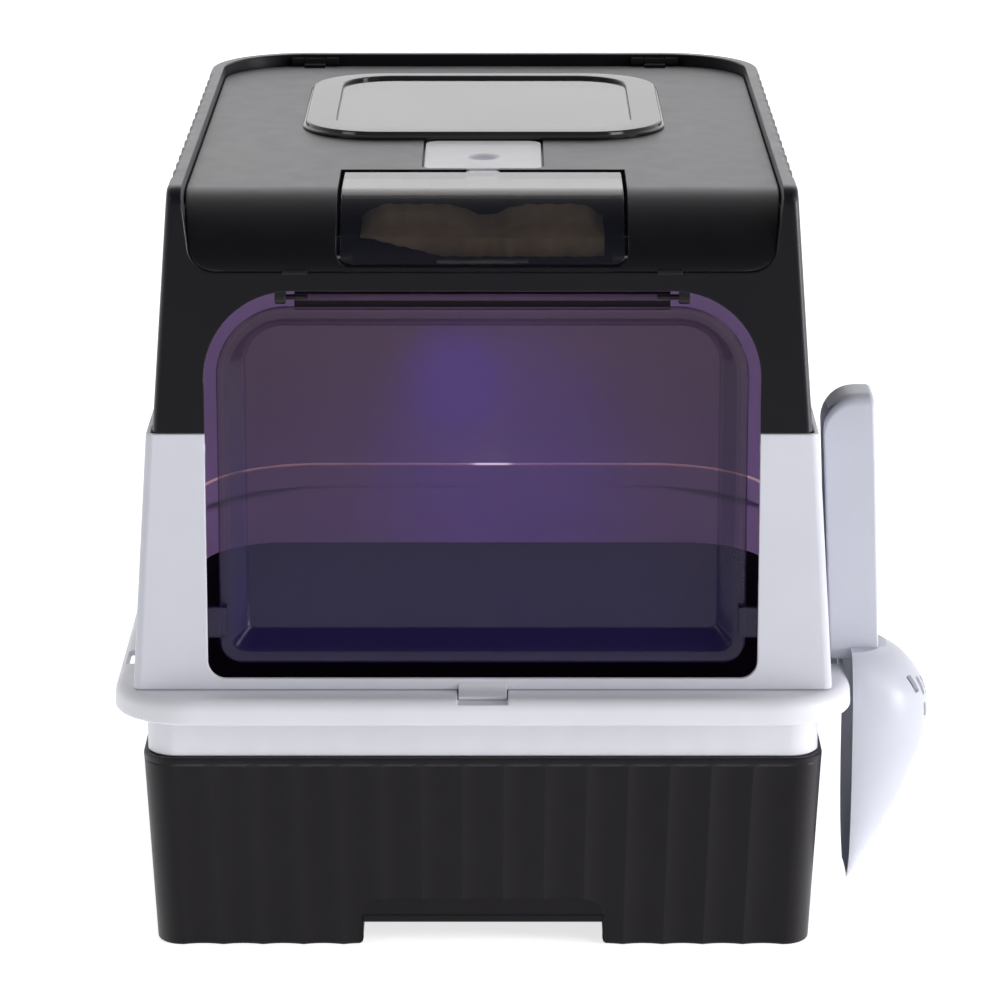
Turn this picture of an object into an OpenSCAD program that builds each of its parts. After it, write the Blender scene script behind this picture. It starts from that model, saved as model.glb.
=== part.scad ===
// Hooded cat litter box: a fluted tray, a flanged collar that drops into it,
// a lower shell and an upper hood, a rear-hinged top lid that wraps over the
// front edge, a smoked storage cover with a slide latch, a tinted inward
// swinging door and a scoop that hangs on the collar.
// Millimetres, +Z up, front faces -Y, origin on the floor under the middle of
// the collar flange.

/* [Tray] */
// Height of the fluted tray
tray_h = 115; // [112:0.5:118]
// Half width of the tray at the floor
tray_hx = 188; // [187:0.5:190]
// Half length of the tray at the floor
tray_hy = 231.5; // [231:0.5:233]
// Depth of each concave flute
flute_d = 1.8; // [1:0.1:2.2]
// Wall thickness of the moulded shells
wall = 3; // [2.4:0.1:3.2]

/* [Collar] */
// Half width of the collar flange
fl_hx = 210; // [208:0.5:212]
// Half length of the collar flange
fl_hy = 256.5; // [254:0.5:260]
// Height of the inner lip that locates the shell
lip_z = 163.4; // [158:0.1:164]

/* [Housing] */
// Height of the joint between shell and hood
joint_z = 303.8; // [303.4:0.1:304]
// Half width of the door opening
open_hx = 155.2; // [152:0.1:157]
// Height of the top of the door opening
open_top = 384; // [382:0.5:385]

/* [Storage cover] */
// Half width of the storage cover
cover_hx = 78.9; // [78:0.1:79]

/* [Door] */
// Half width of the swinging door
door_hx = 148.6; // [144:0.1:150]
// Top edge of the swinging door
door_top = 375.3; // [374:0.1:375.4]
// Bottom edge of the swinging door
door_bot = 168.5; // [166:0.5:172]

/* [Hidden] */
$fn = 48;

c_black = [0.13, 0.13, 0.14];
c_lid = [0.20, 0.20, 0.22];
c_white = [0.86, 0.87, 0.90];
c_smoke = [0.30, 0.30, 0.33];
c_purple = [0.30, 0.22, 0.48];
c_steel = [0.70, 0.70, 0.72];

// levels fixed by the mating parts
deck_z = 155.3;
rail_z = 441.6;
lid_z = 435;
roll_r = 42;

// axis positions as [Y, Z]
lid_ax = [225, 436.8];
door_ax = [-222, 380];
cover_ax = [-218.5, 401.5];
roll_c = [-184, lid_z - roll_r];
scoop_y = -172;
slot_y = [-184.5, -159.5];

function arc(cx, cy, r, a0, a1, n) =
    [for (i = [0:n]) [cx + r * cos(a0 + (a1 - a0) * i / n), cy + r * sin(a0 + (a1 - a0) * i / n)]];

// plan outline with its own front and rear corner radii
function plan(hx, y0, y1, rf, rb, n = 8) = concat(
    arc(hx - rb, y1 - rb, rb, 0, 90, n), arc(-hx + rb, y1 - rb, rb, 90, 180, n),
    arc(-hx + rf, y0 + rf, rf, 180, 270, n), arc(hx - rf, y0 + rf, rf, 270, 360, n));

// a straight run of n concave flutes from a to b, pushed in along -nrm
function flutes(a, b, n, m, d, nrm) =
    [for (i = [0:n * m - 1]) let (t = i / (n * m), u = (i % m) / m)
        a + (b - a) * t - nrm * (4 * d * u * (1 - u))];

// a quarter turn of n concave flutes about [cx, cy], starting at angle a0
function flute_arc(cx, cy, r, a0, n, m, d) =
    [for (i = [0:n * m - 1]) let (a = a0 + 90 * i / (n * m), u = (i % m) / m, q = r - 4 * d * u * (1 - u))
        [cx + q * cos(a), cy + q * sin(a)]];

// fluted outline with small front corners c and large rear corners b
function tray_plan(hx, hy, c, b, d) = concat(
    flutes([hx, -hy + c], [hx, hy - b], 17, 4, d, [1, 0]), flute_arc(hx - b, hy - b, b, 0, 4, 4, d),
    flutes([hx - b, hy], [-hx + b, hy], 11, 4, d, [0, 1]), flute_arc(-hx + b, hy - b, b, 90, 4, 4, d),
    flutes([-hx, hy - b], [-hx, -hy + c], 17, 4, d, [-1, 0]), arc(-hx + c, -hy + c, c, 180, 270, 5),
    flutes([-hx + c, -hy], [hx - c, -hy], 15, 4, d, [0, -1]), arc(hx - c, -hy + c, c, 270, 360, 5));

module slab(z, h, hx, y0, y1, rf, rb, n = 8)
    translate([0, 0, z]) linear_extrude(h) polygon(plan(hx, y0, y1, rf, rb, n));

// solid between two plan outlines, each [z, hx, y0, y1, rf, rb]
module loft(a, b) hull() {
    slab(a[0], 0.02, a[1], a[2], a[3], a[4], a[5]);
    slab(b[0] - 0.02, 0.02, b[1], b[2], b[3], b[4], b[5]);
}

// extrude a [Y, Z] outline along X between x0 and x1
module side_plate(x0, x1, pts)
    translate([x0, 0, 0]) rotate([90, 0, 90]) linear_extrude(x1 - x0) polygon(pts);

// extrude an [X, Z] outline along Y between y0 and y1
module front_plate(y0, y1, pts)
    translate([0, y1, 0]) rotate([90, 0, 0]) linear_extrude(y1 - y0) polygon(pts);

module rod(x0, x1, yz, r)
    translate([x0, yz[0], yz[1]]) rotate([0, 90, 0]) cylinder(h = x1 - x0, r = r);

// front view outline with top and bottom corner radii
function window(hx, z0, z1, rb, rt, n = 10) = concat(
    arc(hx - rt, z1 - rt, rt, 0, 90, n), arc(-hx + rt, z1 - rt, rt, 90, 180, n),
    arc(-hx + rb, z0 + rb, rb, 180, 270, n), arc(hx - rb, z0 + rb, rb, 270, 360, n));

module door_opening(y0, y1) front_plate(y0, y1, window(open_hx, 162.3, open_top, 10, 49));

module both() { children(); mirror([1, 0, 0]) children(); }

// ---------------------------------------------------------------- base
module base_tray() color(c_black) difference() {
    union() {
        linear_extrude(height = tray_h - 6, scale = [193.5 / tray_hx, 236.2 / tray_hy], slices = 1)
            polygon(tray_plan(tray_hx, tray_hy, 15.5, 58.5, flute_d));
        slab(tray_h - 6.02, 6.02, 193.8, -236.5, 236.5, 17, 61, 12);
    }
    difference() {
        loft([wall, 183, -226.5, 226.5, 12, 55], [tray_h + 0.1, 189.4, -232.1, 232.1, 16, 57.5]);
        // raised pocket over the finger grip
        translate([-73, -245, 0]) cube([146, 58, 18.2]);
    }
    // finger grip under the front edge
    front_plate(-250, -191, window(69, -20, 14.8, 2, 7));
    // plain panel above the grip where the flutes stop
    front_plate(-250, -230.4, window(80, -20, 29.6, 2, 9));
}

// -------------------------------------------------------------- collar
module collar_ring() color(c_white) difference() {
    union() {
        slab(tray_h - 8, 8.4, 188.1, -230.9, 230.9, 15, 57, 12);
        slab(tray_h + 0.3, 142 - tray_h, 191.4, -234.2, 234.2, 17, 60, 12);
        hull() {
            slab(140.8, 8, fl_hx - 0.6, -fl_hy + 0.6, fl_hy - 0.6, 44, 49, 12);
            slab(143, 5, fl_hx, -fl_hy, fl_hy, 45, 50, 12);
            slab(151.5, 0.5, fl_hx - 1.6, -fl_hy + 1.6, fl_hy - 1.6, 43, 48, 12);
            slab(deck_z - 0.4, 0.4, fl_hx - 6, -fl_hy + 6, fl_hy - 6, 39, 44, 12);
        }
        // inner lip that locates the shell at the sides and rear
        slab(deck_z - 1, lip_z - deck_z + 1, 190.4, -200, 233.2, 1, 59, 12);
    }
    // open middle
    slab(100, 20, 185.4, -228.2, 228.2, 13, 54, 12);
    slab(118.4, 50, 188.4, -231.2, 231.2, 15, 57, 12);
    // hollow under the down-turned rim
    difference() {
        slab(139, 13.2, fl_hx - 3, -fl_hy + 3, fl_hy - 3, 42, 47, 12);
        slab(138, 16, 191.4, -234.2, 234.2, 17, 60, 12);
    }
    // notch for the front tab of the shell
    translate([-14.3, -260, 152.6]) cube([28.6, 26.4, 6]);
    // hanging slots for the scoop, one each side
    both() translate([199.8, slot_y[0], 150]) cube([6.4, slot_y[1] - slot_y[0], 8]);
}

// ------------------------------------------------------------- housing
module lower_shell() color(c_white) difference() {
    union() {
        difference() {
            loft([deck_z + 0.3, 198, -236.5, 246.5, 5, 58], [joint_z, 188.2, -232.5, 243.5, 5, 66]);
            loft([deck_z, 198 - wall, -236.5 + wall, 246.5 - wall, 3, 55],
                 [joint_z + 0.3, 188.2 - wall, -232.5 + wall, 243.5 - wall, 3, 63]);
        }
        // ledge that carries the hood
        difference() {
            slab(293.5, 3.3, 187, -231.3, 241.8, 4, 63);
            slab(290, 10, 181, -226, 236, 3, 60);
        }
        both() for (y = [-120, 120]) {
            translate([177.5, y, 293.5]) cylinder(h = 3.3, r = 6);
            translate([177.5, y - 6, 293.5]) cube([8, 12, 3.3]);
        }
        // centre tab that keys into the collar
        translate([-13.6, -247, 153]) cube([27.2, 12.6, 6]);
    }
    door_opening(-260, -205);
    both() for (y = [-120, 120]) translate([177.5, y, 290]) cylinder(h = 10, r = 1.7);
}

hood_lo = [joint_z + 0.3, 184.5, -231.5, 239.8, 5, 62];
hood_hi = [rail_z, 174.5, -214, 236.5, 3, 60];
// outline of the opening that the lid drops over, seen from the front
function lid_gap(hx0, hx1, z0, r) = concat(
    [[hx1, 436], [hx1, 470], [-hx1, 470], [-hx1, 436]],
    arc(-hx0 + r, z0 + r, r, 180, 270, 6), arc(hx0 - r, z0 + r, r, 270, 360, 6));

module upper_hood() color(c_black) difference() {
    union() {
        difference() {
            hull() {
                slab(hood_lo[0], 0.02, hood_lo[1], hood_lo[2], hood_lo[3], hood_lo[4], hood_lo[5]);
                slab(rail_z - 0.02, 0.02, hood_hi[1], hood_hi[2], hood_hi[3], hood_hi[4], hood_hi[5]);
                rod(-174.5, 174.5, [-214, 431.6], 10);
            }
            // concave flutes down both sides
            both() for (i = [0:14])
                translate([184.5 + 55.7 - 1.2, -179.3 + 23 * i, joint_z])
                    rotate([0, -4.15, 0]) translate([0, 0, -6]) cylinder(h = 160, r = 55.7, $fn = 96);
            // cabin
            loft([303, 181.6, -228.5, 236.8, 3, 59], [424, 172.8, -221.4, 233.6, 3, 57]);
            // pocket that the lid drops into, and the access opening under it
            slab(427, 40, 166.6, -215, 228.5, 1, 52);
            slab(420, 10, 150, -260, 196, 1, 30);
            // front cut-out behind the rolled edge of the lid
            front_plate(-262, -196, lid_gap(163.4, 166.6, 394.6, 15));
        }
        // cheek walls beside the rolled edge of the lid
        both() front_plate(-223.5, -184, [[163.6, 396], [166.7, 431], [169.7, 431], [171, 396]]);
        // spigot that drops inside the shell
        difference() {
            slab(297, 7.4, 184.2, -228.9, 239.5, 4, 62);
            slab(296, 10, 181.6, -226.2, 236.6, 3, 59);
        }
        both() for (y = [-120, 120]) {
            translate([177.5, y, 297]) cylinder(h = 16, r = 4.5);
            translate([177.5, y - 3, 297]) cube([6, 6, 15]);
        }
        // stiffening ledge along the top of the front panel
        translate([-158, -225.4, 391.4]) cube([316, 17, 2.9]);
        // door hinge lugs
        both() {
            rod(109.2, 115.3, door_ax, 4);
            translate([109.2, -226.3, 380]) cube([6.1, 8.3, 12.5]);
        }
        // lid hinge knuckles on the rear rail
        both() for (x = [95, 117.4]) {
            rod(x, x + 8, lid_ax, 3);
            translate([x, lid_ax[0], 433.8]) cube([8, 5, 6]);
        }
    }
    difference() {
        door_opening(-260, -196);
        both() {
            rod(109.2, 115.3, door_ax, 4);
            translate([109.2, -226.3, 380]) cube([6.1, 8.3, 12.5]);
        }
    }
    both() {
        rod(108, 117, door_ax, 1.5);
        rod(94, 126, lid_ax, 1.5);
        for (y = [-120, 120]) translate([177.5, y, 296]) cylinder(h = 13, r = 1.4);
    }
}

module hood_screws() color(c_steel) both() for (y = [-120, 120]) translate([177.5, y, 0]) {
    translate([0, 0, 291]) cylinder(h = 2.5, r = 3);
    translate([0, 0, 293.4]) cylinder(h = 13.6, r = 1.4);
}

// ----------------------------------------------------------------- lid
// section of a rolled skin between radii r0 > r1 about roll_c
function skin(y_rear, r0, r1, z_end) =
    let (a0 = 180 - asin((z_end - roll_c[1]) / r0), a1 = 180 - asin((z_end - roll_c[1]) / r1))
    concat([[y_rear, roll_c[1] + r0]], arc(roll_c[0], roll_c[1], r0, 90, a0, 14),
           arc(roll_c[0], roll_c[1], r1, a1, 90, 14), [[y_rear, roll_c[1] + r1]]);

module top_lid() color(c_lid) difference() {
    union() {
        intersection() {
            union() {
                side_plate(-166, 166, skin(222, roll_r, roll_r - 3, 395));
                // side webs that stiffen the roll
                both() side_plate(159.6, 162.4, concat([[-176, lid_z - 1]],
                    arc(roll_c[0], roll_c[1], roll_r - 0.5, 92, 176, 12),
                    arc(roll_c[0], roll_c[1], roll_r - 5.5, 175, 92, 12), [[-176, lid_z - 7]]));
            }
            slab(380, 70, 165.6, -260, 221.5, 1, 48);
            front_plate(-260, 240, lid_gap(162.6, 165.6, 395, 15));
        }
        // rim that rests on the hood ledge
        intersection() {
            difference() {
                slab(427.3, 5, 165.2, -200, 221.5, 1, 48);
                slab(420, 20, 162.4, -210, 218.7, 1, 45);
            }
            translate([-200, -193, 420]) cube([400, 440, 20]);
        }
        // floor of the latch recess
        translate([-40, -133.8, 429]) cube([80, 103, 3.2]);
        // hinge knuckles
        both() {
            rod(103.4, 117, lid_ax, 3);
            translate([103.4, 215, 432]) cube([13.6, 10, 4.8]);
        }
    }
    // opening for the storage cover
    translate([-81, -260, 397.2]) cube([162, 126, 60]);
    // latch recess, its tongue channel and stem slot
    slab(431.9, 5, 35, -129.2, -33.5, 6, 9);
    translate([-9.2, -136, 431.9]) cube([18.4, 10, 5]);
    translate([-5.5, -97.6, 425]) cube([11, 17.6, 10]);
    // skylight aperture
    slab(425, 20, 92, -28, 154, 32, 32);
    both() rod(102, 118, lid_ax, 1.55);
    for (x = [-87, 87], y = [-145, -175]) translate([x, y, 431]) cylinder(h = 3, r = 1.25);
}

module lid_hinge_pins() color(c_steel) both() rod(95, 125.4, lid_ax, 1.5);

module skylight_bezel() color(c_smoke) difference() {
    union() {
        hull() {
            slab(lid_z, 2.4, 108.6, -41.5, 167.6, 46, 46, 12);
            slab(lid_z + 4.3, 0.2, 105.4, -38.3, 164.4, 43, 43, 12);
        }
        slab(432, 3.1, 91.6, -27.6, 153.6, 31.6, 31.6, 12);
    }
    slab(425, 11.6, 89.2, -25.2, 151.2, 29.4, 29.4, 12);
    slab(430, 20, 86.5, -22.5, 148.5, 27, 27, 12);
    slab(437.4, 5, 88.4, -24.4, 150.4, 29, 29, 12);
}

module skylight_pane() color([0.35, 0.35, 0.38, 0.5]) slab(434.3, 2.2, 88.9, -24.9, 150.9, 29.1, 29.1, 12);

module latch_slide() color(c_white) difference() {
    union() {
        slab(432.1, 2.5, 34, -128, -41.5, 5.5, 8.5);
        translate([-8.2, -133.8, 432.1]) cube([16.4, 8, 2.5]);
        translate([-4.9, -97, 428.9]) cube([9.8, 9.8, 3.4]);
    }
    // thumb dimple
    translate([0, -92.6, 434.6 + 43.9 - 1.4]) sphere(r = 43.9, $fn = 128);
    translate([0, -92.1, 425]) cylinder(h = 7.4, r = 1.2);
}

module latch_keeper() color(c_black) difference() {
    slab(426.1, 2.6, 12, -103, -81.2, 3, 3);
    translate([0, -92.1, 420]) cylinder(h = 12, r = 1.3);
}

module latch_screw() color(c_steel) translate([0, -92.1, 0]) {
    translate([0, 0, 424.3]) cylinder(h = 1.8, r = 2.4);
    translate([0, 0, 426]) cylinder(h = 5.6, r = 1.2);
}

tub_side = concat([[-131, 431.7], [-184, 431.6]], arc(roll_c[0], roll_c[1], 38.5, 92, 168, 10),
                  [[-221.2, 398], [-214, 398], [-206, 403], [-131, 403]]);

module storage_tub() color(c_black) difference() {
    union() {
        both() side_plate(81.4, 84, tub_side);
        translate([-84, -207, 403]) cube([168, 76, 2]);
        translate([-84, -133.4, 403]) cube([168, 2.4, 25.7]);
        translate([-84, -207, 403]) cube([168, 2, 8]);
        both() translate([83.5, -181, 429.4]) cube([8, 42, 2.3]);
    }
    both() {
        rod(80, 90, cover_ax, 1);
        for (y = [-145, -175]) translate([87, y, 425]) cylinder(h = 10, r = 1.4);
    }
}

module tub_screws() color(c_steel) for (x = [-87, 87], y = [-145, -175]) translate([x, y, 0]) {
    translate([0, 0, 427.6]) cylinder(h = 1.8, r = 2.4);
    translate([0, 0, 429.3]) cylinder(h = 4.5, r = 1.25);
}

module odour_cartridge() color([0.45, 0.38, 0.30]) difference() {
    slab(405.3, 14, 68, -203, -142, 6, 6);
    // vent slots through the cartridge
    for (i = [-4:4]) translate([i * 13 - 2.5, -192, 400]) cube([5, 39, 30]);
}

module front_cover() color([0.22, 0.22, 0.25, 0.8]) difference() {
    union() {
        intersection() {
            side_plate(-cover_hx, cover_hx, skin(-134.6, roll_r - 2.4, roll_r - 4.4, 398.5));
            front_plate(-240, -120, window(cover_hx, 398.5, 500, 6, 2));
        }
        // finger lip
        translate([-25.5, -223.9, 399]) cube([51, 3, 2.5]);
        both() {
            rod(72, cover_hx, cover_ax, 2.4);
            translate([72, -221.4, 400.2]) cube([6.9, 3, 2.6]);
        }
    }
    both() rod(73.5, 80, cover_ax, 1.05);
}

module cover_hinge_pins() color(c_steel) both() rod(74, 84, cover_ax, 1);

// ---------------------------------------------------------------- door
module door_flap() color([0.30, 0.22, 0.48, 0.6]) difference() {
    union() {
        difference() {
            union() {
                front_plate(-226.5, -224, window(door_hx, door_bot, door_top, 12, 40));
                hull() {
                    front_plate(-226.4, -224, window(144.6, 173, 371, 9, 36));
                    front_plate(-215.6, -215.5, window(134.5, 185.4, 364.4, 6, 23));
                }
            }
            hull() {
                front_plate(-227, -226.5, window(142, 175.6, 368.6, 8, 33));
                front_plate(-218.1, -218, window(132.2, 187.4, 362.4, 4, 21));
            }
        }
        // stop ears that meet the inside of the front wall
        both() translate([144, -231.8, 185]) cube([17, 3, 18]);
        both() translate([144, -231.8, 185]) cube([3.6, 7, 18]);
        // hinge bar
        rod(-104.5, 104.5, door_ax, 3);
        translate([-104.5, -226.5, 373]) cube([209, 5.4, 7.2]);
    }
    both() rod(96, 106, door_ax, 1.55);
}

module door_hinge_pins() color(c_steel) both() rod(97, 115.3, door_ax, 1.5);

// --------------------------------------------------------------- scoop
// outer centre profile of the bowl: [Z, depth out from the open face, half width]
bowl = [[25.6, 2.6, 16], [31, 9, 25], [44, 21, 34], [68, 35, 40], [89, 43, 42], [107, 46.5, 42],
        [118, 45.5, 42], [135, 39, 41], [150, 30, 37], [160, 18, 30]];
bowl_x = fl_hx + 1.8;

// half oval slab of depth d and half width w, open face at bowl_x
module bowl_slab(z, d, w)
    translate([bowl_x, scoop_y, z]) linear_extrude(0.02)
        polygon([for (i = [0:16]) let (a = -90 + 180 * i / 16) [d * cos(a), w * sin(a)]]);

module bowl_solid(t) hull() for (b = bowl)
    bowl_slab(b[0] + t * (b[0] < 60 ? 0.6 : b[0] > 140 ? -1.2 : 0), max(b[1] - t, 0.3), b[2] - t);

module scoop() color(c_white) difference() {
    union() {
        difference() {
            bowl_solid(0);
            translate([-0.1, 0, 0]) bowl_solid(2.2);
            // sifting slots
            for (y = [-18, -6, 6, 18]) {
                translate([bowl_x + 16, scoop_y + y - 3, 146.5]) cube([40, 6, 5.5]);
                translate([bowl_x + 16, scoop_y + y - 3, 136]) cube([40, 6, 8]);
            }
            for (y = [-6, 6], z = [62, 86, 110])
                translate([bowl_x + 20, scoop_y + y - 2.4, z]) cube([40, 4.8, 18]);
        }
        difference() {
            handle(0);
            translate([-3, 0, 0]) handle(2.4);
        }
        // shelf between handle and bowl, and the tab that hangs in the collar slot
        translate([200.5, scoop_y - 15, 158.6]) cube([27, 30, 2.4]);
        translate([201.3, scoop_y - 9, 149]) cube([3.4, 18, 11]);
    }
    // hole to hang the scoop up
    translate([180, scoop_y, 297]) rotate([0, 90, 0]) cylinder(h = 60, r = 4);
}

module handle(t) hull() {
    translate([199.8 + t, scoop_y - 15 + t, 158.8]) cube([28.3 - 2 * t, 30 - 2 * t, 0.4 + t]);
    translate([212.6, scoop_y - 14.5 + t, 292.6]) rotate([-90, 0, 0]) cylinder(h = 29 - 2 * t, r = 19 - t);
    translate([214, scoop_y - 14.5 + t, 290]) cube([8.4 - t, 29 - 2 * t, 21.8 - t]);
}

base_tray();
collar_ring();
lower_shell();
upper_hood();
hood_screws();
top_lid();
lid_hinge_pins();
skylight_bezel();
skylight_pane();
latch_slide();
latch_keeper();
latch_screw();
storage_tub();
tub_screws();
odour_cartridge();
front_cover();
cover_hinge_pins();
door_flap();
door_hinge_pins();
scoop();
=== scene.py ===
import math
import random
from math import asin, cos, pi, radians, sin, sqrt, tan

import bmesh
import bpy
from mathutils import Matrix, Vector


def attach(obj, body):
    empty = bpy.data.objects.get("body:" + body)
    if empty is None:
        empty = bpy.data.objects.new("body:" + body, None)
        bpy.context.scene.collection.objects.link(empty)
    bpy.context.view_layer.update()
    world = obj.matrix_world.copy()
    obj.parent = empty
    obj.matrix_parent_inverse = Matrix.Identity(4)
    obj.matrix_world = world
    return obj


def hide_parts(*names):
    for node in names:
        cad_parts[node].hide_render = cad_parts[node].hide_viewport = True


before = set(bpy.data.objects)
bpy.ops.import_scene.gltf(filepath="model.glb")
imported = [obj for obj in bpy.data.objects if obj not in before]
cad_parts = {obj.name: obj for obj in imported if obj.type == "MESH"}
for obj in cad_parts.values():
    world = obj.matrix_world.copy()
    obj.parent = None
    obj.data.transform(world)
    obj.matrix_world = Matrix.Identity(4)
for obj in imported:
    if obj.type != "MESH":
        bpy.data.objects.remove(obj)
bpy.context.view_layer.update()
scene = bpy.context.scene
scene.view_settings.view_transform = "Standard"
scene.view_settings.look = "None"
random.seed(7)
S = 0.001  # everything below is written in millimetres

# ------------------------------------------------------------------ camera
cam = bpy.data.objects.new("camera", bpy.data.cameras.new("camera"))
cam.data.lens = 158.515
cam.data.sensor_width = 36
cam.data.clip_start = 0.1
cam.data.clip_end = 60
cam.location = (0.0098, -2.6127, 0.9106)
cam.rotation_euler = (radians(74.845), 0, 0)
scene.collection.objects.link(cam)
scene.camera = cam


# ------------------------------------------------------------------ outlines
def arc(cx, cy, r, a0, a1, n):
    return [(cx + r * cos(radians(a0 + (a1 - a0) * i / n)), cy + r * sin(radians(a0 + (a1 - a0) * i / n))) for i in range(n + 1)]


def plan(hx, y0, y1, rf, rb, n=14):
    """Rounded plan outline, with its own front and rear corner radii."""
    return (arc(hx - rb, y1 - rb, rb, 0, 90, n) + arc(-hx + rb, y1 - rb, rb, 90, 180, n)
            + arc(-hx + rf, y0 + rf, rf, 180, 270, n) + arc(hx - rf, y0 + rf, rf, 270, 360, n))


def window(hx, z0, z1, rb, rt, n=12):
    """Rounded front-view outline in X and Z."""
    return (arc(hx - rt, z1 - rt, rt, 0, 90, n) + arc(-hx + rt, z1 - rt, rt, 90, 180, n)
            + arc(-hx + rb, z0 + rb, rb, 180, 270, n) + arc(hx - rb, z0 + rb, rb, 270, 360, n))


def at_z(outline, z):
    return [(x, y, z) for x, y in outline]


def at_y(outline, y):
    return [(x, y, z) for x, z in outline]


def at_x(outline, x):
    return [(x, y, z) for y, z in outline]


def lerp(a, b, t):
    return a + (b - a) * t


# ------------------------------------------------------------------ meshes
def link(name, verts, faces):
    me = bpy.data.meshes.new(name)
    me.from_pydata([(x * S, y * S, z * S) for x, y, z in verts], [], faces)
    o = bpy.data.objects.new(name, me)
    scene.collection.objects.link(o)
    bm = bmesh.new()
    bm.from_mesh(me)
    bmesh.ops.remove_doubles(bm, verts=bm.verts, dist=1e-7)
    bmesh.ops.dissolve_degenerate(bm, edges=bm.edges, dist=1e-7)
    bmesh.ops.recalc_face_normals(bm, faces=bm.faces)
    bm.to_mesh(me)
    bm.free()
    return o


def loft(name, rings, closed=False):
    """Quads between rings of equal length. A closed loft is a hollow wall with no caps."""
    n, m = len(rings[0]), len(rings)
    verts = [v for r in rings for v in r]
    faces = []
    for i in range(m if closed else m - 1):
        a, b = i * n, ((i + 1) % m) * n
        for j in range(n):
            k = (j + 1) % n
            faces.append((a + j, a + k, b + k, b + j))
    if not closed:
        faces.append(tuple(reversed(range(n))))
        faces.append(tuple(range((m - 1) * n, m * n)))
    return link(name, verts, faces)


def box(x0, x1, y0, y1, z0, z1, name="tmp"):
    v = [(x, y, z) for x in (x0, x1) for y in (y0, y1) for z in (z0, z1)]
    f = [(0, 1, 3, 2), (4, 6, 7, 5), (0, 4, 5, 1), (2, 3, 7, 6), (0, 2, 6, 4), (1, 5, 7, 3)]
    return link(name, v, f)


def soft_box(x0, x1, y0, y1, z0, z1, w=0.6, seg=3, name="tmp"):
    o = box(x0, x1, y0, y1, z0, z1, name)
    round_edges(o, w, seg)
    return o


def prism_y(outline, y0, y1, name="tmp"):
    return loft(name, [at_y(outline, y0), at_y(outline, y1)])


def prism_z(outline, z0, z1, name="tmp"):
    return loft(name, [at_z(outline, z0), at_z(outline, z1)])


def prism_x(outline, x0, x1, name="tmp"):
    return loft(name, [at_x(outline, x0), at_x(outline, x1)])


def rod(x0, x1, y, z, r, n=32, w=0.3, name="tmp"):
    rings = [[(x, y + (r - e) * cos(2 * pi * i / n), z + (r - e) * sin(2 * pi * i / n)) for i in range(n)]
             for x, e in ((x0, w), (x0 + w, 0), (x1 - w, 0), (x1, w))]
    return loft(name, rings)


def post(x, y, z0, z1, r, n=32, w=0.3, name="tmp"):
    rings = [[(x + (r - e) * cos(2 * pi * i / n), y + (r - e) * sin(2 * pi * i / n), z) for i in range(n)]
             for z, e in ((z0, w), (z0 + w, 0), (z1 - w, 0), (z1, w))]
    return loft(name, rings)


def mirrored(o):
    me = o.data.copy()
    me.transform(Matrix.Scale(-1, 4, (1, 0, 0)))
    me.flip_normals()
    c = bpy.data.objects.new(o.name + "_m", me)
    scene.collection.objects.link(c)
    return c


def drop(o):
    me = o.data
    bpy.data.objects.remove(o)
    bpy.data.meshes.remove(me)


def carve(o, cutters, op="DIFFERENCE"):
    """Exact boolean with each cutter, applied."""
    for c in cutters:
        m = o.modifiers.new("cut", "BOOLEAN")
        m.object, m.operation, m.solver = c, op, "EXACT"
        bpy.context.view_layer.update()
        me = bpy.data.meshes.new_from_object(o.evaluated_get(bpy.context.evaluated_depsgraph_get()))
        o.modifiers.clear()
        old, o.data = o.data, me
        bpy.data.meshes.remove(old)
        drop(c)
    bm = bmesh.new()
    bm.from_mesh(o.data)
    bmesh.ops.remove_doubles(bm, verts=bm.verts, dist=2e-6)
    bmesh.ops.dissolve_degenerate(bm, edges=bm.edges, dist=2e-6)
    bm.to_mesh(o.data)
    bm.free()
    return o


def fuse(o, others):
    return carve(o, others, "UNION")


def add(o, others):
    """Joins closed pieces into o's mesh as they are."""
    bm = bmesh.new()
    bm.from_mesh(o.data)
    for c in others:
        bm.from_mesh(c.data)
        drop(c)
    bm.to_mesh(o.data)
    bm.free()
    return o


def round_edges(o, w, seg=2, test=None, angle=35, clamp=False):
    """Rounds the edges sharper than angle whose middle passes test, given in millimetres."""
    bm = bmesh.new()
    bm.from_mesh(o.data)
    bm.normal_update()
    edges = []
    for e in bm.edges:
        if len(e.link_faces) == 2 and e.calc_face_angle(0) > radians(angle):
            mid = (e.verts[0].co + e.verts[1].co) / 2 / S
            if test is None or test(mid.x, mid.y, mid.z):
                edges.append(e)
    bmesh.ops.bevel(bm, geom=edges, offset=w * S, segments=seg, profile=0.5, affect="EDGES", clamp_overlap=clamp)
    bmesh.ops.remove_doubles(bm, verts=bm.verts, dist=2e-6)
    bm.to_mesh(o.data)
    bm.free()
    return o


def smooth(o, angle=28, weighted=True):
    for p in o.data.polygons:
        p.use_smooth = True
    o.data.set_sharp_from_angle(angle=radians(angle))
    if weighted:
        m = o.modifiers.new("normals", "WEIGHTED_NORMAL")
        m.keep_sharp, m.weight = True, 100
    return o


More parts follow.
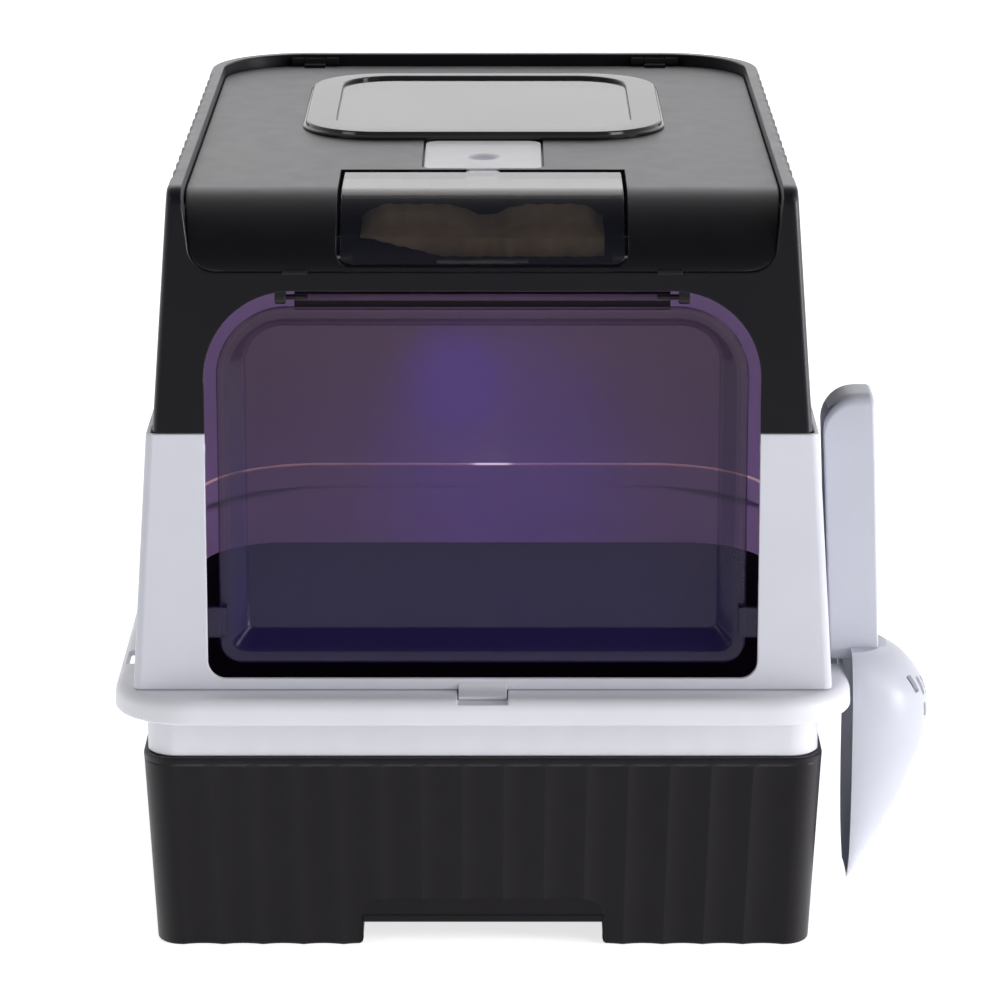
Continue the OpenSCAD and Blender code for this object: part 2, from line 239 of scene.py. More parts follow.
# ------------------------------------------------------------------ materials
class Nodes:
    def __init__(self, name):
        self.m = bpy.data.materials.new(name)
        self.m.use_nodes = True
        self.t = self.m.node_tree
        self.t.nodes.clear()
        self.out = self.t.nodes.new("ShaderNodeOutputMaterial")
        self.co = self.t.nodes.new("ShaderNodeTexCoord").outputs["Object"]

    def new(self, kind, **sockets):
        n = self.t.nodes.new("ShaderNode" + kind)
        for k, v in sockets.items():
            self.put(n.inputs[k.replace("_", " ")], v)
        return n

    def put(self, socket, v):
        if isinstance(v, bpy.types.NodeSocket):
            self.t.links.new(v, socket)
        else:
            socket.default_value = v

    def noise(self, scale, detail=2.0, rough=0.5, stretch=None, distortion=0.0):
        co = self.co
        if stretch:
            mp = self.new("Mapping", Vector=co, Scale=stretch)
            co = mp.outputs[0]
        n = self.new("TexNoise", Vector=co, Scale=scale, Detail=detail, Roughness=rough, Distortion=distortion)
        return n.outputs["Fac"]

    def ramp(self, fac, a, b, lo=0.3, hi=0.7):
        n = self.new("MapRange", Value=fac)
        n.inputs["From Min"].default_value, n.inputs["From Max"].default_value = lo, hi
        n.inputs["To Min"].default_value, n.inputs["To Max"].default_value = a, b
        return n.outputs[0]

    def mix(self, fac, a, b):
        n = self.t.nodes.new("ShaderNodeMix")
        n.data_type = "RGBA"
        self.put(n.inputs[0], fac)
        self.put(n.inputs[6], a)
        self.put(n.inputs[7], b)
        return n.outputs[2]

    def math(self, op, a, b=0.0):
        n = self.t.nodes.new("ShaderNodeMath")
        n.operation = op
        self.put(n.inputs[0], a)
        self.put(n.inputs[1], b)
        return n.outputs[0]


def rgb(r, g, b):
    return (r, g, b, 1)


def plastic(name, dark, light, rough=(0.45, 0.6), spec=0.4, grain=1400, bump=0.12, depth=0.00004, sss=None,
            scuff=0.0, coat=0.0, blotch=14, ior=1.5, extra=None, graze=0.0, power=1.5):
    """Moulded plastic: faint flow marks in the colour, fine spark-eroded grain, and rubbed streaks in the gloss."""
    k = Nodes(name)
    flow = k.noise(blotch, 3, 0.55, distortion=0.3)
    fine = k.noise(grain, 2, 0.5)
    colour = k.mix(k.ramp(flow, 0, 1), dark, light)
    r = k.ramp(k.noise(60, 4, 0.6), rough[0], rough[1])
    if scuff:
        streak = k.noise(420, 2, 0.5, stretch=(0.06, 1.0, 0.4))
        mark = k.ramp(streak, 0, scuff, 0.62, 0.72)
        r = k.math("SUBTRACT", r, mark)
    b = k.new("Bump", Strength=bump, Distance=depth, Height=fine)
    p = k.new("BsdfPrincipled", Roughness=r, Normal=b.outputs[0])
    k.put(p.inputs["Base Color"], colour)
    p.inputs["IOR"].default_value = ior
    p.inputs["Specular IOR Level"].default_value = spec
    if coat:
        p.inputs["Coat Weight"].default_value = coat
        p.inputs["Coat Roughness"].default_value = 0.12
    if sss:
        p.inputs["Subsurface Weight"].default_value = sss
        p.inputs["Subsurface Radius"].default_value = (1.0, 1.0, 1.1)
        p.inputs["Subsurface Scale"].default_value = 0.0025
    if extra:
        extra(k, p, colour)
    last = p.outputs[0]
    if graze:
        lw = k.new("LayerWeight")
        lw.inputs["Blend"].default_value = 0.5
        sheen = k.new("BsdfGlossy", Normal=b.outputs[0])
        k.put(sheen.inputs["Roughness"], k.ramp(k.noise(60, 3, 0.6), rough[0] * 0.95, rough[1] * 1.05))
        k.put(sheen.inputs["Color"], k.mix(k.ramp(flow, 0, 1), rgb(0.97, 0.95, 1.0), rgb(1.0, 0.98, 1.0)))
        mx = k.new("MixShader")
        k.put(mx.inputs[0], k.math("MULTIPLY", k.math("POWER", lw.outputs["Facing"], power), graze))
        k.put(mx.inputs[1], last)
        k.put(mx.inputs[2], sheen.outputs[0])
        last = mx.outputs[0]
    k.put(k.out.inputs[0], last)
    return k.m


def tinted(name, through, body, clear, rough=(0.08, 0.14), f0=0.04, low=None, levels=None, rim=None, rim_shade_clear=None):
    """See-through moulded plastic: gloss by angle on top, and below it a share of light going straight through with the
    tint and the rest scattered by the body colour. low is the body colour at the lower of the two levels, a painted
    violet glow.
    rim is a painted dark-blue shade on faces turned sideways or down, with rim_shade_clear as the share going through
    there."""
    k = Nodes(name)
    flow = k.noise(9, 3, 0.5, distortion=0.4)
    ripple = k.noise(70, 2, 0.5)
    b = k.new("Bump", Strength=0.012, Distance=0.0002, Height=ripple)
    colour = k.mix(k.ramp(flow, 0, 1), body, tuple(min(1, c * 1.12) for c in body[:3]) + (1,))
    # Painted light: below the levels the body turns blue-violet, for the violet glow from inside falling on the door.
    if low:
        sep = k.new("SeparateXYZ", Vector=k.co)
        colour = k.mix(k.ramp(sep.outputs[2], 1, 0, levels[0], levels[1]), colour, low)
    # Painted shade: faces turned sideways or down, and a little of the inner slopes, take the dark-blue rim colour and
    # let less light through; the rim's flat front face is mixed a fifth toward grey.
    if rim:
        nrm = k.t.nodes.new("ShaderNodeTexCoord").outputs["Normal"]
        sn = k.new("SeparateXYZ", Vector=nrm)
        m = k.math("MAXIMUM", k.math("ABSOLUTE", sn.outputs[0]), k.math("ABSOLUTE", sn.outputs[2]))
        turned = k.math("MAXIMUM", k.ramp(m, 0, 1, 0.76, 0.94), k.ramp(m, 0, 0.30, 0.30, 0.60))
        sep = k.new("SeparateXYZ", Vector=k.co)
        front = k.ramp(sep.outputs[1], 1, 0, -0.2264, -0.2246)
        slope = k.math("MULTIPLY", k.ramp(sep.outputs[1], 1, 0, -0.2196, -0.2186), k.math("SUBTRACT", 1.0, front))
        turned = k.math("MAXIMUM", turned, k.math("MULTIPLY", slope, 0.14))
        colour = k.mix(k.math("MULTIPLY", front, 0.2), colour, rgb(0.085, 0.070, 0.095))
        colour = k.mix(turned, colour, rim)
    body_ = k.new("BsdfPrincipled", Normal=b.outputs[0])
    body_.inputs["Roughness"].default_value = 0.6
    body_.inputs["Specular IOR Level"].default_value = 0.0
    k.put(body_.inputs["Base Color"], colour)
    tr = k.new("BsdfTransparent")
    k.put(tr.inputs[0], k.mix(k.ramp(flow, 0, 1), through, tuple(c * 0.97 for c in through[:3]) + (1,)))
    inner_ = k.new("MixShader")
    inner_.inputs[0].default_value = clear
    if rim_shade_clear:
        k.put(inner_.inputs[0], k.math("SUBTRACT", clear, k.math("MULTIPLY", turned, clear - rim_shade_clear)))
    k.put(inner_.inputs[1], body_.outputs[0])
    k.put(inner_.inputs[2], tr.outputs[0])
    lw = k.new("LayerWeight")
    lw.inputs["Blend"].default_value = 0.5
    f = k.math("ADD", k.math("MULTIPLY", k.math("POWER", lw.outputs["Facing"], 5.0), 1 - f0), f0)
    gloss = k.new("BsdfGlossy", Normal=b.outputs[0])
    k.put(gloss.inputs["Roughness"], k.ramp(k.noise(160, 3, 0.6), rough[0], rough[1]))
    k.put(gloss.inputs["Color"], k.mix(k.ramp(flow, 0, 1), rgb(1, 1, 1), rgb(0.97, 0.97, 0.98)))
    mx = k.new("MixShader")
    k.put(mx.inputs[0], f)
    k.put(mx.inputs[1], inner_.outputs[0])
    k.put(mx.inputs[2], gloss.outputs[0])
    k.put(k.out.inputs[0], mx.outputs[0])
    return k.m


def metal(name, colour, rough):
    k = Nodes(name)
    streak = k.noise(900, 2, 0.5, stretch=(1, 0.05, 0.05))
    p = k.new("BsdfPrincipled", Metallic=1.0, Roughness=k.ramp(streak, rough * 0.8, rough * 1.3))
    k.put(p.inputs["Base Color"], k.mix(k.noise(300), colour, tuple(c * 0.8 for c in colour[:3]) + (1,)))
    k.put(k.out.inputs[0], p.outputs[0])
    return k.m


def painted_seam_glow(k, p, colour):
    """Painted light: an emission glow along the top edge of the lip, at the back, for daylight that leaks in under the
    shell; whiter and brighter near the middle, orange to the sides.
    """
    sep = k.new("SeparateXYZ", Vector=k.co)
    edge = k.ramp(sep.outputs[2], 0, 1, 0.1647, 0.1649)
    back = k.ramp(sep.outputs[1], 0, 1, 0.10, 0.20)
    mid = k.math("ABSOLUTE", k.math("SUBTRACT", sep.outputs[0], 0.0045))
    spot = k.ramp(mid, 1.3, 0.0, 0.010, 0.015)
    wob = k.ramp(k.noise(40, 2, 0.5), 0.14, 0.40)
    k.put(p.inputs["Emission Strength"], k.math("MULTIPLY", k.math("MULTIPLY", edge, back), k.math("ADD", wob, spot)))
    k.put(p.inputs["Emission Color"], k.mix(k.ramp(mid, 0, 1, 0.010, 0.016), rgb(1.0, 0.95, 0.93), rgb(1.0, 0.56, 0.30)))


def painted_dimple_shade(k, p, colour):
    """Painted shade: the thumb dimple, below the given height, is mixed toward a darker lavender."""
    sep = k.new("SeparateXYZ", Vector=k.co)
    k.put(p.inputs["Base Color"], k.mix(k.ramp(sep.outputs[2], 1, 0, 0.4334, 0.4344), colour, rgb(0.36, 0.32, 0.44)))


M_TRAY = plastic("tray_black", rgb(0.0074, 0.0062, 0.0076), rgb(0.0086, 0.0074, 0.0090), (0.40, 0.48), spec=0.12, scuff=0.03, graze=0.12)
M_HOOD = plastic("hood_black", rgb(0.0062, 0.0054, 0.0078), rgb(0.0074, 0.0066, 0.0092), (0.36, 0.42), spec=0.13, scuff=0.03, graze=0.21)
M_LID = plastic("lid_black", rgb(0.0034, 0.0028, 0.0042), rgb(0.0044, 0.0036, 0.0052), (0.38, 0.42), spec=0.12, blotch=9, graze=0.155, power=1.0)
# Shell, collar, scoop and latch are one white plastic; the four copies differ in lightness to offset how the lamps fall
# on each part, a painted light and shade.
M_WHITE = plastic("white_moulded", rgb(0.585, 0.595, 0.655), rgb(0.610, 0.620, 0.680), (0.36, 0.46), spec=0.25, bump=0.06, sss=0.12)
# The collar also carries a painted glow along the back of the lip.
M_COLLAR = plastic("collar_white", rgb(0.695, 0.70, 0.75), rgb(0.72, 0.725, 0.775), (0.34, 0.44), spec=0.3, bump=0.05, sss=0.15, extra=painted_seam_glow)
M_SCOOP = plastic("scoop_white", rgb(0.515, 0.530, 0.600), rgb(0.540, 0.555, 0.625), (0.30, 0.40), spec=0.3, bump=0.05, sss=0.25)
# The latch also carries a painted shade in its thumb dimple.
M_LATCH = plastic("latch_white", rgb(0.75, 0.74, 0.78), rgb(0.78, 0.77, 0.81), (0.30, 0.40), spec=0.3, bump=0.06, sss=0.1, extra=painted_dimple_shade)
M_BEZEL = plastic("smoked_gloss", rgb(0.014, 0.013, 0.013), rgb(0.022, 0.020, 0.020), (0.08, 0.13), spec=0.5, bump=0.02, ior=1.5)
M_PANE = tinted("smoked_pane", rgb(0.55, 0.55, 0.58), rgb(0.022, 0.022, 0.025), 0.45, (0.05, 0.09), f0=0.025)
M_COVER = tinted("smoked_cover", rgb(0.80, 0.78, 0.76), rgb(0.010, 0.012, 0.024), 0.76, (0.04, 0.07), f0=0.018)
# On the door, low is a painted violet glow and rim a painted dark-blue shade on its turned edges and slopes.
M_DOOR = tinted("purple_door", rgb(0.93, 0.84, 0.90), rgb(0.018, 0.012, 0.012), 0.64, (0.08, 0.13), f0=0.014,
                low=rgb(0.020, 0.014, 0.085), levels=(0.20, 0.35), rim=rgb(0.006, 0.005, 0.045), rim_shade_clear=0.15)
M_TUB = plastic("tub_black", rgb(0.008, 0.010, 0.022), rgb(0.012, 0.014, 0.030), (0.45, 0.6), spec=0.2)
M_CART = plastic("cartridge_brown", rgb(0.30, 0.235, 0.165), rgb(0.44, 0.35, 0.26), (0.5, 0.7), spec=0.3, blotch=30, bump=0.3, grain=700)
M_STEEL = metal("steel_pin", rgb(0.62, 0.62, 0.64), 0.28)
# Dull dark plastic on the hinge knuckles at the back; on the door it is painted shade along the groove under the hinge
# bar and on the bar's top.
M_SHADE = plastic("dull_black_and_painted_shade", rgb(0.0075, 0.0068, 0.0080), rgb(0.0095, 0.0086, 0.0100), (0.55, 0.65), spec=0.06, bump=0.04)
# Near-black metal for the lid and door hinge pins.
M_DARK_PIN = metal("dark_pin", rgb(0.030, 0.030, 0.034), 0.45)


def wear(o, material, body=None):
    o.data.materials.clear()
    o.data.materials.append(material)
    for p in o.data.polygons:
        p.material_index = 0
    if body:
        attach(o, body)
    return o


def second(o, material, test):
    """A second material on the faces whose middle, in millimetres, passes test."""
    o.data.materials.append(material)
    for p in o.data.polygons:
        c = p.center / S
        if test(c.x, c.y, c.z):
            p.material_index = len(o.data.materials) - 1


def carry(node, material):
    """A CAD node that stays as it is, with its own material."""
    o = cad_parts[node]
    if not o.data.materials:
        o.data.materials.append(material)
    for s in o.material_slots:
        s.link = "OBJECT"
        s.material = material
    return o


# ------------------------------------------------------------------ base tray
TRAY_H = 115


def flute_line(a, b, n, m, d, nrm):
    out = []
    for i in range(n * m):
        t, u = i / (n * m), (i % m) / m
        k = 4 * d * u * (1 - u)
        out.append((lerp(a[0], b[0], t) - nrm[0] * k, lerp(a[1], b[1], t) - nrm[1] * k))
    return out


def flute_arc(cx, cy, r, a0, n, m, d):
    out = []
    for i in range(n * m):
        a, u = radians(a0 + 90 * i / (n * m)), (i % m) / m
        q = r - 4 * d * u * (1 - u)
        out.append((cx + q * cos(a), cy + q * sin(a)))
    return out


def tray_ring(hx, hy, c, d, b=58.5, m=10, nc=9):
    """Fluted outline: small front corners c, large rear corners b, flutes of depth d."""
    return (flute_line((hx, -hy + c), (hx, hy - b), 17, m, d, (1, 0)) + flute_arc(hx - b, hy - b, b, 0, 4, m, d)
            + flute_line((hx - b, hy), (-hx + b, hy), 11, m, d, (0, 1)) + flute_arc(-hx + b, hy - b, b, 90, 4, m, d)
            + flute_line((-hx, hy - b), (-hx, -hy + c), 17, m, d, (-1, 0)) + arc(-hx + c, -hy + c, c, 180, 270, nc)
            + flute_line((-hx + c, -hy), (hx - c, -hy), 15, m, d, (0, -1)) + arc(hx - c, -hy + c, c, 270, 360, nc))


def tray_out(z, e=0.0, d=1.8):
    t = z / 109
    k = lerp(1, 1.025, t)
    return at_z(tray_ring(lerp(188, 193.5, t) - e, lerp(231.5, 236.2, t) - e, 15.5 * k - min(e, 3), d, 58.5 * k - e), z)


def tray_in(z, e=0.0):
    t = (z - 3) / 112.1
    return at_z(tray_ring(lerp(183, 189.4, t) - e, lerp(226.5, 232.1, t) - e, max(lerp(12, 16, t) - e, 3), 0, lerp(55, 57.5, t) - e), z)


rings = [tray_out(1.6 - 1.6 * sin(radians(a)), 1.6 * (1 - cos(radians(a)))) for a in (90, 60, 30, 0)]
rings += [tray_out(z) for z in (20, 40, 60, 80, 100, 109.4)]
rings += [tray_out(110.3, 0, 1.2), at_z(tray_ring(193.7, 236.35, 17, 0.3, 60.6), 111.0), at_z(tray_ring(193.8, 236.45, 17, 0, 61), 111.8)]
rings += [at_z(tray_ring(193.9, 236.55, 17, 0, 61), 113.8)]
rings += [at_z(tray_ring(193.95 - 1.2 * (1 - cos(radians(a))), 236.6 - 1.2 * (1 - cos(radians(a))), 16.5, 0, 60.5), 113.8 + 1.2 * sin(radians(a))) for a in (30, 60, 90)]
rings += [at_z(tray_ring(190.4, 233.1, 16, 0, 58.5), 115), at_z(tray_ring(189.6, 232.3, 16, 0, 57.8), 114.4)]
rings += [tray_in(z) for z in (110, 60, 9)]
rings += [tray_in(9 - 6 * sin(radians(a)), 6 * (1 - cos(radians(a)))) for a in (30, 60, 90)]
tray = loft("tray_body", rings)
carve(tray, [prism_y(window(69.4, -20, 28.4, 2, 13), -250, -230.4)])
fuse(tray, [prism_y(window(69.35, 0.4, 28.35, 0.5, 12.9), -230.45, -227.5)])
fuse(tray, [soft_box(-73, 73, -229.6, -187, 1.5, 18.2, 3, 4)])
fuse(tray, [soft_box(-69.2, 69.2, -231.0, -229, 11.5, 18.2, 0.35, 2)])
notch = (arc(69 - 1.2, 13.8 - 1.2, 1.2, 0, 90, 4) + arc(-69 + 1.2, 13.8 - 1.2, 1.2, 90, 180, 4)
         + [(-69, 5)] + arc(-69 - 3.2, 3.2 - 0.2, 3.2, 0, -70, 5) + [(-71, -20), (71, -20)] + arc(69 + 3.2, 3.2 - 0.2, 3.2, 250, 180, 5) + [(69, 5)])
carve(tray, [prism_y(notch, -252, -191)])
round_edges(tray, 0.7, 2, lambda x, y, z: abs(x) < 75 and z < 16.5 and y < -190.5 and (y < -228 or z > 12), 45)
smooth(tray, 24)
wear(tray, M_TRAY, "base")
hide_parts("base_tray")

# ------------------------------------------------------------------ collar
def pl(z, hx, hy, r1, r2, d=0.0):
    return at_z(tray_ring(hx, hy, r1, d, r2, 8, 14), z)


rings = [pl(111.6, 187.6, 230.4, 15, 56.5), pl(112.2, 188.1, 230.9, 15, 57), pl(115.5, 188.1, 230.9, 15, 57),
         pl(115.4, 190.6, 233.4, 16.5, 59.5), pl(116.2, 191.4, 234.2, 17, 60, 0.18), pl(128, 191.4, 234.2, 17, 60, 0.32), pl(143, 191.4, 234.2, 17, 60, 0.2),
         pl(148, 191.6, 234.4, 17, 60), pl(151, 192.6, 235.4, 18, 60.5), pl(152.2, 195, 238, 20, 60), pl(152.2, 204, 250.5, 40, 48), pl(151.4, 206.3, 252.8, 42, 47),
         pl(149.4, 207.2, 253.7, 42.5, 47.5), pl(142.0, 207.6, 254.1, 43, 48), pl(141.0, 208.4, 254.9, 43.5, 48.5), pl(140.8, 209.2, 255.7, 44, 49),
         pl(141.6, 209.9, 256.4, 44.8, 49.8), pl(143.2, 210, 256.5, 45, 50), pl(148.6, 209.7, 256.2, 44.8, 49.8)]
rings += [pl(148.6 + 6.7 * sin(radians(a)), 209.7 - 6.4 * (1 - cos(radians(a))), 256.2 - 6.4 * (1 - cos(radians(a))), 44.8 - 5 * (1 - cos(radians(a))), 49.8 - 5 * (1 - cos(radians(a)))) for a in (15, 30, 45, 60, 75, 90)]
rings += [pl(155.3, 200, 246, 36, 46), pl(155.3, 189.2, 232, 15.5, 57.5), pl(154.6, 188.4, 231.2, 15, 57), pl(146, 188.4, 231.2, 15, 57),
          pl(115, 186.4, 229.2, 14, 55), pl(111.6, 186.1, 228.9, 13.5, 54.7)]
collar = loft("collar_body", rings, closed=True)
carve(collar, [box(-14.3, 14.3, -262, -233.6, 152.6, 160), box(199.8, 206.2, -184.5, -159.5, 150, 158), box(-206.2, -199.8, -184.5, -159.5, 150, 158)])
round_edges(collar, 0.5, 2, lambda x, y, z: z > 150.5 and ((abs(x) < 15 and y < -233) or (195 < abs(x) and -186 < y < -158 and z > 154.6)), 40)
lip = loft("tmp", [at_z(plan(h, -200, r, 1, c, 14), z) for z, h, r, c in ((150, 189.4, 232.4, 80), (165.2, 189.4, 232.4, 80), (165.8, 188.9, 231.9, 79.5), (165.8, 187.4, 230.4, 78), (165.2, 186.9, 229.9, 77.5), (150, 187.3, 230.3, 78))], closed=True)
carve(lip, [box(-250, 250, -260, -196, 100, 200)])
add(collar, [lip])
smooth(collar, 26)
wear(collar, M_COLLAR, "collar")
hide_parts("collar_ring")

# ------------------------------------------------------------------ lower shell
Z0, Z1 = 155.6, 303.8


def sh(z, e=0.0):
    """Outline of the shell at height z, inset by e."""
    t = (z - Z0) / (Z1 - Z0)
    return at_z(plan(lerp(198, 188.2, t) - e, lerp(-236.5, -232.5, t) + e, lerp(246.5, 243.5, t) - e, max(5 - e, 1.6), lerp(58, 66, t) - e, 16), z)


rings = [sh(155.6, 1.2), sh(155.7, 0.5), sh(156.3, 0)] + [sh(z) for z in (180, 210, 240, 270, 300, 303.0)] + [sh(303.6, 0.3), sh(303.8, 0.9)]
rings += [sh(303.8, 2.4), sh(303.3, 3), sh(296.8, 3), sh(296.8, 7.6), sh(293.5, 7.6), sh(291.5, 3), sh(240, 3), sh(158, 3), sh(155.6, 2.4)]
shell = loft("shell_body", rings, closed=True)
opening = window(155.2, 162.3, 384, 10, 49, 16)
carve(shell, [prism_y(opening, -262, -205)])
round_edges(shell, 0.7, 3, lambda x, y, z: y < -229 and (abs(x) < 156 and z < 303.4), 45)
tab = prism_x([(-233.7, 152.9), (-233.7, 160.5), (-236.3, 160.4), (-236.9, 158.6), (-238.4, 157.2), (-241.4, 156.2), (-245.6, 155.3), (-246.5, 154.8), (-246.8, 154.0), (-246.8, 153.4), (-246.4, 152.9)], -13.6, 13.6)
round_edges(tab, 0.3, 2, lambda x, y, z: abs(x) > 13.5, 50)
posts = [post(sx * 177.5, y, 293.5, 296.8, 6) for sx in (-1, 1) for y in (-120, 120)]
add(shell, [tab] + posts)
smooth(shell, 26)
wear(shell, M_WHITE, "housing")
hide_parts("lower_shell")

# ------------------------------------------------------------------ upper hood
def hood_side(hx, ya, yb, d, m=8):
    """The fluted side from ya to yb: plain, 15 flutes, plain."""
    out = [(hx, ya)] + [(hx, lerp(ya, -190.8, t)) for t in (0.3, 0.7)]
    for i in range(15 * m):
        u = (i % m) / m
        out.append((hx - 4 * d * u * (1 - u), -190.8 + 23 * i / m))
    return out + [(hx, 154.2)] + [(hx, lerp(154.2, yb, t)) for t in (0.4, 1.0)]


def hood_ring(z, hx, y0, y1, rf, rb, d, n=14):
    right = hood_side(hx, y0 + rf, y1 - rb, d)
    left = [(-x, y) for x, y in reversed(right)]
    return at_z(arc(hx - rf, y0 + rf, rf, 270, 360, n)[:-1] + right + arc(hx - rb, y1 - rb, rb, 0, 90, n)[1:]
                + arc(-hx + rb, y1 - rb, rb, 90, 180, n)[:-1] + left + arc(-hx + rf, y0 + rf, rf, 180, 270, n)[1:], z)


HZ0, HZ1 = 304.1, 441.6
BEND = radians(3.36)


def hood_front(z):
    """Y of the hood's front face at height z: a straight lean, then a 10 mm bend."""
    zt = 431.6 + 10 * sin(BEND)
    if z <= zt:
        return lerp(-231.5, -214 - 10 * cos(BEND), (z - HZ0) / (zt - HZ0))
    return -214 - sqrt(max(100 - (z - 431.6) ** 2, 0))


def ho(z, e=0.0, d=1.2):
    t = (z - HZ0) / (HZ1 - HZ0)
    d = d * (1 + 1.1 * min(1, max(0, (z - 340) / 80)))
    return hood_ring(z, lerp(184.5, 174.5, t) - e, hood_front(z) + e * 0.6, lerp(239.8, 236.5, t) - e, 4, lerp(62, 60, t) - e, d)


def hi(z, hx, y0, y1, rf, rb):
    return hood_ring(z, hx, y0, y1, rf, rb, 0)


rings = [ho(304.1, 0.8, 0.6), ho(304.4, 0.2, 1.1), ho(305.2, 0)] + [ho(z) for z in (330, 355, 380, 405, 425, 432)]
rings += [ho(z) for z in (434.5, 436.8, 438.6)] + [ho(440.0, 0.12, 1.2), ho(440.8, 0.45, 1.15), ho(441.35, 0.95, 1.05), ho(441.6, 1.7, 0.9)]
rings += [hi(441.6, 167.3, -210, 229.4, 3, 52.7), hi(441.3, 166.8, -210, 228.8, 3, 52.2), hi(440.8, 166.6, -210, 228.5, 3, 52), hi(427, 166.6, -210, 228.5, 3, 52),
          hi(427, 150.5, -208, 196.5, 3, 30), hi(426.2, 150, -208, 196, 3, 30), hi(424, 150, -208, 196, 3, 30),
          hi(424, 168, -216, 229, 3, 52), hi(422, 172.2, -220.4, 233.2, 3, 56), hi(330, 179.9, -227.1, 236.1, 3, 58.6), hi(303, 181.6, -228.5, 236.8, 3, 59),
          hi(297, 181.6, -226.2, 236.6, 3, 59), hi(297, 184.2, -228.9, 239.5, 4, 62), hi(304.1, 184.2, -229.4, 239.5, 4, 62)]
hood = loft("hood_body", rings, closed=True)


def lid_gap(hx0, hx1, z0, r):
    return ([(hx1, 436), (hx1, 470), (-hx1, 470), (-hx1, 436)] + arc(-hx0 + r, z0 + r, r, 180, 270, 10) + arc(hx0 - r, z0 + r, r, 270, 360, 10))


carve(hood, [prism_y(opening, -262, -200), prism_y(lid_gap(163.4, 166.6, 394.6, 15), -262, -196)])
round_edges(hood, 0.8, 3, lambda x, y, z: y < -221.5 and ((z < 385 and z > 305.5 and abs(x) < 156) or (z > 394 and z < 434 and abs(x) < 166)), 45)
cheek = prism_y([(163.6, 396), (166.7, 431), (169.7, 431), (171, 396)], -222.5, -184)
ledge = soft_box(-158, 158, -225.2, -208.4, 391.4, 394.3, 0.5, 2)
lug = add(rod(109.2, 115.3, -222, 380, 4, w=0.5), [soft_box(109.2, 115.3, -226.3, -218, 380, 392.5, 0.5, 2)])
knuckle = []
for kx in (95, 117.4):
    knuckle += [rod(kx, kx + 8, 225, 436.8, 3, w=0.4), soft_box(kx, kx + 8, 225, 230, 433.8, 439.8, 0.4, 2)]
bosses = [post(177.5, y, 297, 313, 4.5) for y in (-120, 120)]
half = [cheek, lug] + knuckle + bosses
add(hood, half[:0] + [ledge] + [mirrored(o) for o in half] + half)
smooth(hood, 24)
wear(hood, M_HOOD, "housing")
second(hood, M_SHADE, lambda x, y, z: y > 220 and 433 < z < 441 and 94 < abs(x) < 127 and y < 228.4)
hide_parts("upper_hood")

# ------------------------------------------------------------------ lid
CY, CZ = -184.0, 393.0


def rolled(name, rows, half, cols=28):
    """Closed curved sheet. rows are ((y, z) outside, (y, z) inside) along the section, and half gives each row's half width."""
    n, m = len(rows), cols + 1
    verts, faces = [], []
    for side in (0, 1):
        for i, row in enumerate(rows):
            y, z = row[side]
            for j in range(m):
                verts.append((half[i] * (-1 + 2 * j / cols), y, z))
    base = n * m

    def q(s, i, j):
        return s * base + i * m + j
    for i in range(n - 1):
        for j in range(cols):
            faces.append((q(0, i, j), q(0, i, j + 1), q(0, i + 1, j + 1), q(0, i + 1, j)))
            faces.append((q(1, i, j), q(1, i + 1, j), q(1, i + 1, j + 1), q(1, i, j + 1)))
        faces.append((q(0, i, 0), q(0, i + 1, 0), q(1, i + 1, 0), q(1, i, 0)))
        faces.append((q(0, i, cols), q(1, i, cols), q(1, i + 1, cols), q(0, i + 1, cols)))
    for j in range(cols):
        faces.append((q(0, 0, j), q(1, 0, j), q(1, 0, j + 1), q(0, 0, j + 1)))
        faces.append((q(0, n - 1, j), q(0, n - 1, j + 1), q(1, n - 1, j + 1), q(1, n - 1, j)))
    return link(name, verts, faces)


def roll_rows(y_rear, r0, r1, z_end, ys, zs):
    """Section rows: flat at the Y values, then round the roll, with rows at the given heights."""
    rows = [((y, CZ + r0), (y, CZ + r1)) for y in ys]
    a_end = 180 - math.degrees(asin((z_end - CZ) / r0))
    a_in = 180 - math.degrees(asin((z_end - CZ) / r1))
    angles = sorted(set([90 + i * (a_end - 90) / 30 for i in range(31)] + [180 - math.degrees(asin((z - CZ) / r0)) for z in zs]))
    for a in angles:
        f = (a - 90) / (a_end - 90)
        ai = lerp(90, a_in, f)
        rows.append(((CY + r0 * cos(radians(a)), CZ + r0 * sin(radians(a))), (CY + r1 * cos(radians(ai)), CZ + r1 * sin(radians(ai)))))
    return rows


ys = [173.5 + 48 * sin(radians(a)) for a in (90, 84, 76, 68, 60, 52, 44, 36, 28, 20, 12, 6, 0)] + [150 - 30 * i for i in range(12)]
rows = roll_rows(221.5, 42, 39, 395, ys, [395.3, 396, 397.2, 399, 401, 404, 407])
half = []
for (y, z), _ in rows:
    if y > 173.5:
        half.append(166.0 - 48 + sqrt(max(48 ** 2 - (y - 173.5) ** 2, 0)))
    elif z < 410:
        half.append(162.9 - 15 + sqrt(max(15 ** 2 - (410 - z) ** 2, 0)))
    else:
        half.append(lerp(162.9, 166.0, min((z - 410) / 25, 1)))
lid = rolled("lid_body", rows, half)
round_edges(lid, 1.0, 3, lambda x, y, z: True, 50)
cover_gap = window(81, 397.2, 520, 8, 2, 8)
carve(lid, [prism_y(cover_gap, -262, -134.0), prism_z(plan(92, -28, 161.4, 32, 34, 12), 425, 445),
            prism_z(plan(35, -129.2, -33.5, 6, 9, 8), 425, 445), box(-9.2, 9.2, -136, -126, 425, 445),
            box(-81.3, 81.3, -224.4, -212, 393, 397.8)])
round_edges(lid, 0.45, 2, lambda x, y, z: (abs(x) < 82 and y < -133 and z > 397) or (abs(x) < 36 and -137 < y < -30), 50)
floor_ = loft("tmp", [at_z(plan(40, -133.8, -30.8, 2, 2, 4), z) for z in (429, 431.9)])
